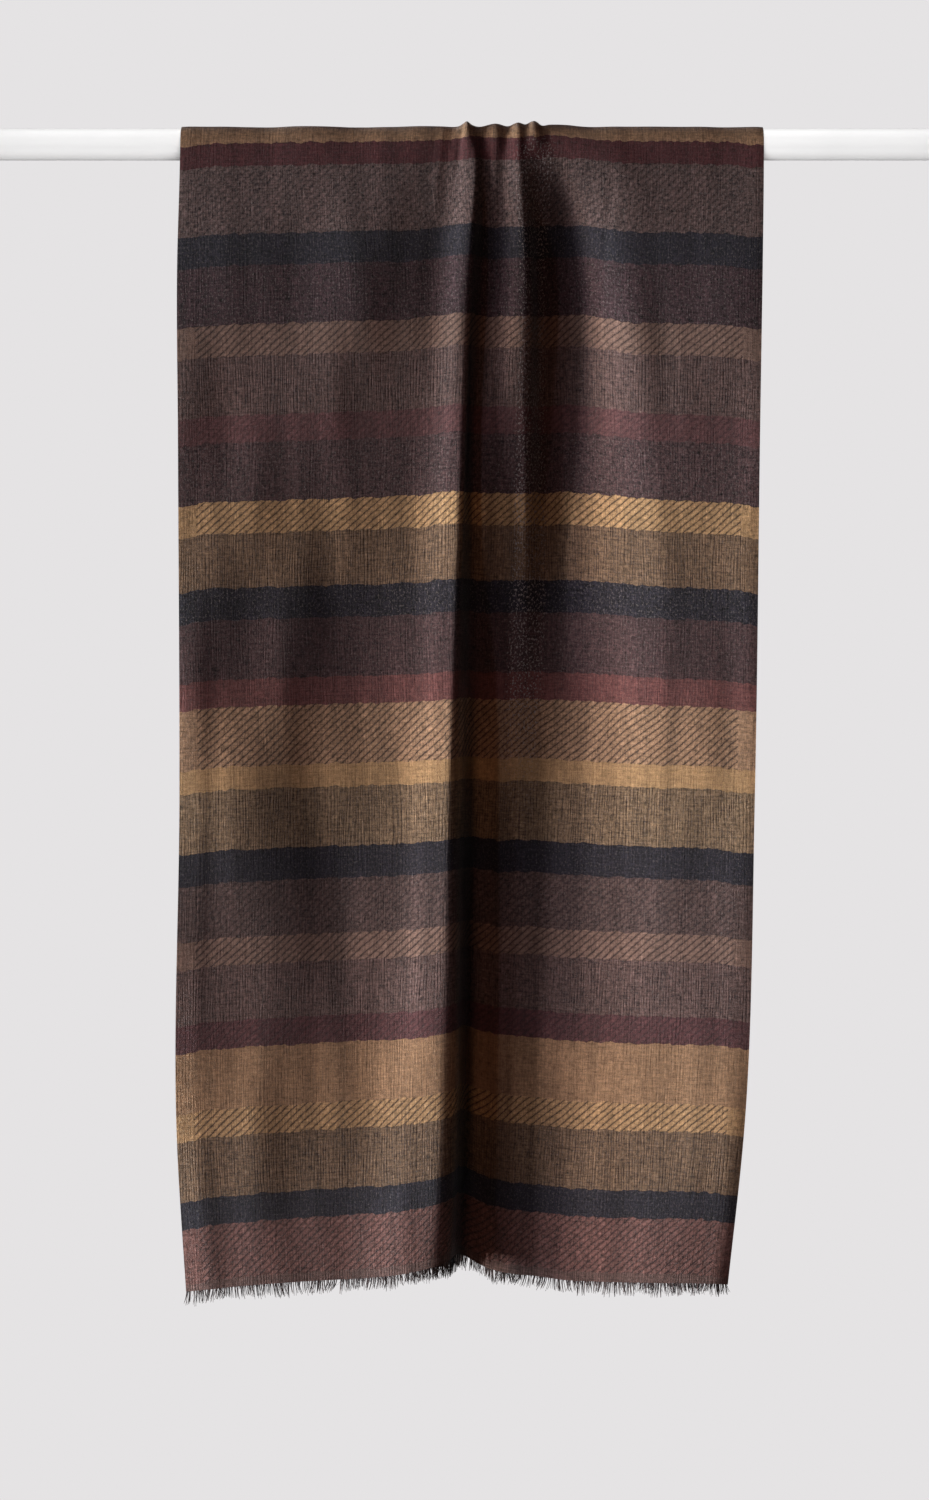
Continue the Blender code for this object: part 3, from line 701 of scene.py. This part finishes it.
def looseYarn():
    material, tree, shader = newMaterial("looseWarpEnds")
    position = putNode(tree, "ShaderNodeTexCoord")
    inMillimetres = putNode(tree, "ShaderNodeMapping")
    inMillimetres.inputs["Scale"].default_value = (1000, 1000, 1000)
    inMillimetres.inputs["Rotation"].default_value = (math.pi / 2, 0, 0)   # x and height
    tree.links.new(position.outputs["Object"], inMillimetres.inputs[0])
    fibre = putNode(tree, "ShaderNodeGroup", node_tree=yarnFibre)
    tree.links.new(inMillimetres.outputs[0], fibre.inputs[0])
    streaks, fibres = fibre.outputs["Warp streaks"], fibre.outputs["Fibres"]
    colour = blendColour(tree, streaks, srgb(*looseEndSet["dark"]), srgb(*looseEndSet["mid"]))
    paleHere = remap(tree, fibres, 0.5, 0.75, 0, looseEndSet["paleShare"])
    colour = blendColour(tree, paleHere, colour, srgb(*looseEndSet["pale"]))
    tree.links.new(colour, shader.inputs["Base Color"])
    rough = remap(tree, fibres, 0.3, 0.7, *looseEndSet["roughness"])
    tree.links.new(rough, shader.inputs["Roughness"])
    addBump(tree, shader, fibres, looseEndSet["bump"], 0.6)
    shader.inputs["Sheen Weight"].default_value = looseEndSet["sheen"]
    shader.inputs["Specular IOR Level"].default_value = looseEndSet["specular"]
    return material


rodPaintSet = {
    "pale": (236, 235, 235), "dull": (230, 229, 229), "roughness": (0.36, 0.46), "specular": 0.35,
    "brushScale": 900, "dullScale": 9, "bump": 0.00004,
}


def satinPaint():
    material, tree, shader = newMaterial("whiteSatinPaint")
    position = putNode(tree, "ShaderNodeTexCoord")
    noises = []
    for scale, detail in ((rodPaintSet["brushScale"], 2), (rodPaintSet["dullScale"], 3)):
        noise = putNode(tree, "ShaderNodeTexNoise")
        noise.inputs["Scale"].default_value = scale
        noise.inputs["Detail"].default_value = detail
        tree.links.new(position.outputs["Object"], noise.inputs["Vector"])
        noises.append(noise.outputs["Fac"])
    brushed, soft = noises
    dullHere = remap(tree, soft, 0.35, 0.65)
    colour = blendColour(tree, dullHere, srgb(*rodPaintSet["pale"]), srgb(*rodPaintSet["dull"]))
    tree.links.new(colour, shader.inputs["Base Color"])
    rough = remap(tree, soft, 0.3, 0.7, *rodPaintSet["roughness"])
    tree.links.new(rough, shader.inputs["Roughness"])
    addBump(tree, shader, brushed, rodPaintSet["bump"], 0.25)
    shader.inputs["Specular IOR Level"].default_value = rodPaintSet["specular"]
    return material


mufflerCloth.data.materials.append(wovenCloth())
looseEnds = looseYarn()
frontFringe.data.materials.append(looseEnds)
backFringe.data.materials.append(looseEnds)
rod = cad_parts["rod"]
rodPaint = satinPaint()
for slot in rod.material_slots:
    slot.material = rodPaint
print("materials made")


# Room and light.
room = {
    "wall": srgb(229, 227, 228), "ambient": (1.0, 0.98, 0.97, 1), "ambientStrength": 0.001,
    "floorHeight": -1.6, "floorRadius": 1.5,
    "floorColour": srgb(226, 224, 224), "floorRoughness": 0.9,
}
# A dark card at the left keeps the lamps from shining between the front and back of the cloth.
lampCard = {
    "place": (-0.31, 0.024, -0.97), "deep": 0.142, "tall": 0.2, "colour": (0.02, 0.02, 0.02, 1),
}
# Lamps on the left, nearly in line with the cloth, and weak ones in front for its hollows.
# One lamp behind is for all, and the rod and the floor have lamps of their own.
lights = {
    "graze": {"kind": "SPOT", "from": (-7.96, -0.84, -0.70), "at": (0.0, 0.0, -0.68), "size": 0.35,
              "cone": 12, "colour": (0.73, 0.90, 1.0), "power": 6300, "lit": "cloth"},
    "key": {"kind": "SPOT", "from": (-7.88, -1.39, -0.70), "at": (0.0, 0.0, -0.68), "size": 0.35,
            "cone": 12, "colour": (1.0, 0.96, 0.90), "power": 7100, "lit": "cloth"},
    "keySoft": {"kind": "SPOT", "from": (-7.76, -1.94, -0.70), "at": (0.0, 0.0, -0.68), "size": 0.6,
                "cone": 12, "colour": (1.0, 0.95, 1.0), "power": 4450, "lit": "cloth"},
    "side": {"kind": "SPOT", "from": (-7.10, -3.16, 1.40), "at": (0.0, 0.0, -0.62), "size": 1.0,
             "cone": 16, "colour": (0.89, 0.91, 1.0), "power": 740, "lit": "cloth"},
    "upper": {"kind": "SPOT", "from": (-6.13, -5.14, -0.30), "at": (0.0, 0.0, -0.30), "size": 0.8,
              "cone": 8, "colour": (0.74, 0.80, 1.0), "power": 800, "lit": "cloth"},
    "front": {"kind": "SPOT", "from": (-2.74, -7.52, -0.40), "at": (0.0, 0.0, -0.50), "size": 1.5,
              "cone": 14, "colour": (1.0, 0.58, 0.44), "power": 1000, "lit": "cloth"},
    "behind": {"kind": "AREA", "from": (2.20, 2.60, 0.20), "at": (0.0, 0.0, -0.50), "size": 1.6,
               "colour": (1.0, 1.0, 1.0), "power": 110, "lit": "all"},
    "rodAbove": {"kind": "AREA", "from": (0.0, -0.45, 1.6), "at": (0.0, 0.0, 0.0), "size": 1.6,
                 "colour": (1.0, 1.0, 1.0), "power": 33, "lit": "rod"},
    "rodBelow": {"kind": "AREA", "from": (0.0, -0.6, -1.6), "at": (0.0, 0.0, 0.0), "size": 1.6,
                 "colour": (1.0, 1.0, 1.0), "power": 46, "lit": "rod"},
    "rodFront": {"kind": "AREA", "from": (0.0, -2.2, 0.2), "at": (0.0, 0.0, 0.0), "size": 1.6,
                 "colour": (1.0, 1.0, 1.0), "power": 28, "lit": "rod"},
    "floorAbove": {"kind": "AREA", "from": (0.0, 0.0, 2.2), "at": (0.0, 0.01, -1.6), "size": 3.2,
                   "colour": (1.0, 1.0, 1.0), "power": 130, "lit": "floor"},
}

bpy.context.scene.view_settings.view_transform = "Standard"
world = bpy.data.worlds.new("room")
bpy.context.scene.world = world
world.use_nodes = True
worldTree = world.node_tree
dim = worldTree.nodes["Background"]
dim.inputs["Color"].default_value = room["ambient"]
dim.inputs["Strength"].default_value = room["ambientStrength"]
paleWall = putNode(worldTree, "ShaderNodeBackground")
paleWall.inputs["Color"].default_value = room["wall"]
seen = putNode(worldTree, "ShaderNodeLightPath")
choice = putNode(worldTree, "ShaderNodeMixShader")
worldTree.links.new(seen.outputs["Is Camera Ray"], choice.inputs[0])
worldTree.links.new(dim.outputs[0], choice.inputs[1])
worldTree.links.new(paleWall.outputs[0], choice.inputs[2])
worldTree.links.new(choice.outputs[0], worldTree.nodes["World Output"].inputs["Surface"])

deselectAll()
bpy.ops.mesh.primitive_circle_add(vertices=96, radius=room["floorRadius"], fill_type="NGON",
                                  location=(0, 0, room["floorHeight"]))
floor = bpy.context.object
floor.name = "floor"
floorMaterial, _, floorShader = newMaterial("paleFloor")
floorShader.inputs["Base Color"].default_value = room["floorColour"]
floorShader.inputs["Roughness"].default_value = room["floorRoughness"]
floor.data.materials.append(floorMaterial)
floor.visible_diffuse = False      # its bounce would fill the dark folds

litBy = {"rod": [rod], "cloth": [mufflerCloth, frontFringe, backFringe], "floor": [floor]}
for name, things in litBy.items():
    litBy[name] = bpy.data.collections.new(name + "Lit")
    for thing in things:
        litBy[name].objects.link(thing)
for name, light in lights.items():
    deselectAll()
    bpy.ops.object.light_add(type=light["kind"], location=light["from"])
    lamp = bpy.context.object
    lamp.name = name
    if light["kind"] == "SPOT":
        lamp.data.shadow_soft_size = light["size"]
        lamp.data.spot_size = math.radians(light["cone"])
        lamp.data.spot_blend = 1.0
    else:
        lamp.data.size = light["size"]
    lamp.data.energy = light["power"]
    lamp.data.color = light["colour"]
    lamp.rotation_euler = (Vector(light["at"]) - lamp.location).to_track_quat("-Z", "Y").to_euler()
    lamp.visible_camera = False
    if light["lit"] in litBy:
        lamp.light_linking.receiver_collection = litBy[light["lit"]]

deselectAll()
bpy.ops.mesh.primitive_plane_add(size=1, location=lampCard["place"], rotation=(0, math.pi / 2, 0))
card = bpy.context.object
card.name = "lampCard"
card.scale = (lampCard["tall"], lampCard["deep"], 1)
bpy.ops.object.transform_apply(location=True, rotation=True, scale=True)
card.visible_camera = False
cardMaterial, _, cardShader = newMaterial("darkCard")
cardShader.inputs["Base Color"].default_value = lampCard["colour"]
card.data.materials.append(cardMaterial)
print("room and lights set")


# Attach the new pieces and hide the parts they replace.
for piece in (mufflerCloth, frontFringe, backFringe):
    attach(piece, "root")
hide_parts("cloth_turn", "cloth_front", "cloth_back")
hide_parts("fringe_front")
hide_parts("fringe_back")

deselectAll()
